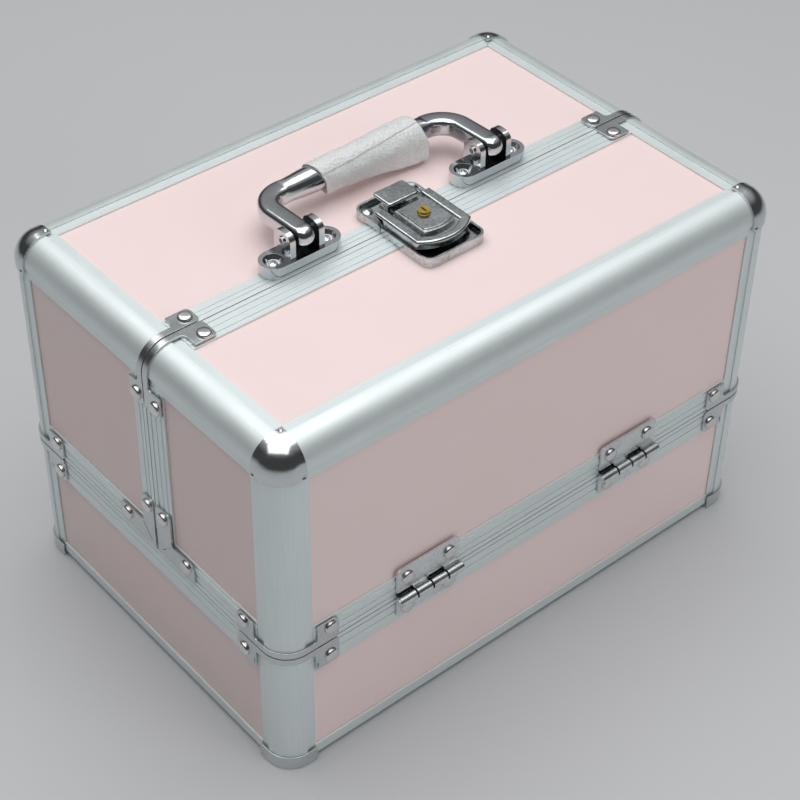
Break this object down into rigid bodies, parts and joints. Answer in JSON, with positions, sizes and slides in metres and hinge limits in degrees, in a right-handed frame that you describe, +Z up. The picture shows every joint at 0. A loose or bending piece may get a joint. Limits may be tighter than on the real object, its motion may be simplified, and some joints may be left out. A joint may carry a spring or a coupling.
{
  "type": "makeup storage case",
  "caption": "Makeup case in pale laminate with a rounded aluminium frame, chromed corners, two half lids that swing outward with trays on link arms, a folding handle and a key latch.",
  "frame": {"origin": "middle of the case's outline, on the surface it stands on", "axes": "+X along the length to the right seen from the front, +Y from the front lid to the rear lid, +Z up"},
  "size_m": [0.3054, 0.2152, 0.2196],
  "materials": {
    "pink_laminate": "fine matt laminate",
    "floor_board": "black backing board",
    "foam_mat": "closed-cell foam",
    "tray_plastic": "fine grained plastic",
    "anodised_frame": "matt silver anodised extrusion",
    "arm_steel": "plated strip steel",
    "brass": "plain brass",
    "foam_film": "thin foamed packing film",
    "cast_chrome": "chromed die casting",
    "latch_chrome": "chromed pressed steel",
    "rivet_chrome": "plated rivets and studs",
    "hinge_steel": "plated pressed steel",
    "bracket_chrome": "plated pressed steel"
  },
  "bodies": {
    "base": {"base_floor_panel": "floor_board", "base_wall_panels": "pink_laminate", "base_floor_mat": "foam_mat", "base_bottom_frame": "anodised_frame", "base_corner_posts": "anodised_frame", "base_rim_strips": "anodised_frame", "base_foot_caps": "bracket_chrome", "base_seam_brackets": "bracket_chrome", "base_rivets": "rivet_chrome", "base_arm_studs": "rivet_chrome", "front_hinge_lower_leaves": "hinge_steel", "rear_hinge_lower_leaves": "hinge_steel", "front_hinge_pins": "hinge_steel", "rear_hinge_pins": "hinge_steel"},
    "front_lid": {"front_lid_top_panel": "pink_laminate", "front_lid_wall_panels": "pink_laminate", "front_lid_top_edges": "anodised_frame", "front_lid_corner_posts": "anodised_frame", "front_lid_rim_strips": "anodised_frame", "front_lid_meeting_strips": "anodised_frame", "front_lid_corner_caps": "bracket_chrome", "front_lid_seam_brackets": "bracket_chrome", "front_lid_wrap_brackets": "bracket_chrome", "front_lid_angle_brackets": "bracket_chrome", "front_lid_rivets": "rivet_chrome", "front_lid_tray_studs": "rivet_chrome", "front_hinge_upper_leaves": "hinge_steel", "latch_base": "latch_chrome"},
    "rear_lid": {"rear_lid_top_panel": "pink_laminate", "rear_lid_wall_panels": "pink_laminate", "rear_lid_top_edges": "anodised_frame", "rear_lid_corner_posts": "anodised_frame", "rear_lid_rim_strips": "anodised_frame", "rear_lid_meeting_strips": "anodised_frame", "rear_lid_corner_caps": "bracket_chrome", "rear_lid_seam_brackets": "bracket_chrome", "rear_lid_wrap_brackets": "bracket_chrome", "rear_lid_angle_brackets": "bracket_chrome", "rear_lid_rivets": "rivet_chrome", "rear_lid_tray_studs": "rivet_chrome", "rear_hinge_upper_leaves": "hinge_steel", "latch_catch_plate": "latch_chrome", "latch_catch_tab": "latch_chrome", "latch_catch_screws": "latch_chrome", "handle_brackets": "cast_chrome", "handle_bracket_screws": "cast_chrome", "handle_pins": "cast_chrome"},
    "lever": {"latch_lever": "latch_chrome", "latch_lock_plate": "latch_chrome", "latch_pins": "latch_chrome"},
    "key": {"latch_key_cylinder": "brass"},
    "handle": {"handle_bar": "cast_chrome", "handle_film": "foam_film"},
    "lower_tray_front": {"front_lower_tray": "tray_plastic"},
    "upper_tray_front": {"front_upper_tray": "tray_plastic"},
    "lower_tray_rear": {"rear_lower_tray": "tray_plastic"},
    "upper_tray_rear": {"rear_upper_tray": "tray_plastic"},
    "arms_front": {"front_link_arms": "arm_steel"},
    "arms_rear": {"rear_link_arms": "arm_steel"}
  },
  "joints": [
    {"name": "front_lid_hinge", "type": "hinge", "parent": "base", "child": "front_lid", "pos_m": [0, -0.105, 0.076], "axis": [1, 0, 0], "range_deg": [0, 90]},
    {"name": "rear_lid_hinge", "type": "hinge", "parent": "base", "child": "rear_lid", "pos_m": [0, 0.105, 0.076], "axis": [-1, 0, 0], "range_deg": [0, 90]},
    {"name": "front_arm_pivot", "type": "hinge", "parent": "base", "child": "arms_front", "pos_m": [0, -0.083, 0.071], "axis": [1, 0, 0], "range_deg": [0, 90]},
    {"name": "rear_arm_pivot", "type": "hinge", "parent": "base", "child": "arms_rear", "pos_m": [0, 0.083, 0.071], "axis": [-1, 0, 0], "range_deg": [0, 90]},
    {"name": "front_lower_tray_pivot", "type": "hinge", "parent": "front_lid", "child": "lower_tray_front", "pos_m": [0, -0.072, 0.109], "axis": [-1, 0, 0], "range_deg": [0, 90]},
    {"name": "front_upper_tray_pivot", "type": "hinge", "parent": "front_lid", "child": "upper_tray_front", "pos_m": [0, -0.049, 0.132], "axis": [-1, 0, 0], "range_deg": [0, 90]},
    {"name": "rear_lower_tray_pivot", "type": "hinge", "parent": "rear_lid", "child": "lower_tray_rear", "pos_m": [0, 0.072, 0.109], "axis": [1, 0, 0], "range_deg": [0, 90]},
    {"name": "rear_upper_tray_pivot", "type": "hinge", "parent": "rear_lid", "child": "upper_tray_rear", "pos_m": [0, 0.049, 0.132], "axis": [1, 0, 0], "range_deg": [0, 90]},
    {"name": "handle_pivot", "type": "hinge", "parent": "rear_lid", "child": "handle", "pos_m": [-0.0012, -0.0003, 0.2112], "axis": [1, 0, 0], "range_deg": [0, 95]},
    {"name": "latch_lever_pivot", "type": "hinge", "parent": "front_lid", "child": "lever", "pos_m": [0, -0.0106, 0.2022], "axis": [-1, 0, 0], "range_deg": [0, 32]},
    {"name": "latch_key_turn", "type": "hinge", "parent": "lever", "child": "key", "pos_m": [0, -0.0185, 0.203], "axis": [0, 0, 1], "range_deg": [0, 90]}
  ],
  "couplings": [
    {"joint": "front_arm_pivot", "follows": "front_lid_hinge", "ratio": 1},
    {"joint": "front_lower_tray_pivot", "follows": "front_lid_hinge", "ratio": 1},
    {"joint": "front_upper_tray_pivot", "follows": "front_lid_hinge", "ratio": 1},
    {"joint": "rear_arm_pivot", "follows": "rear_lid_hinge", "ratio": 1},
    {"joint": "rear_lower_tray_pivot", "follows": "rear_lid_hinge", "ratio": 1},
    {"joint": "rear_upper_tray_pivot", "follows": "rear_lid_hinge", "ratio": 1}
  ]
}
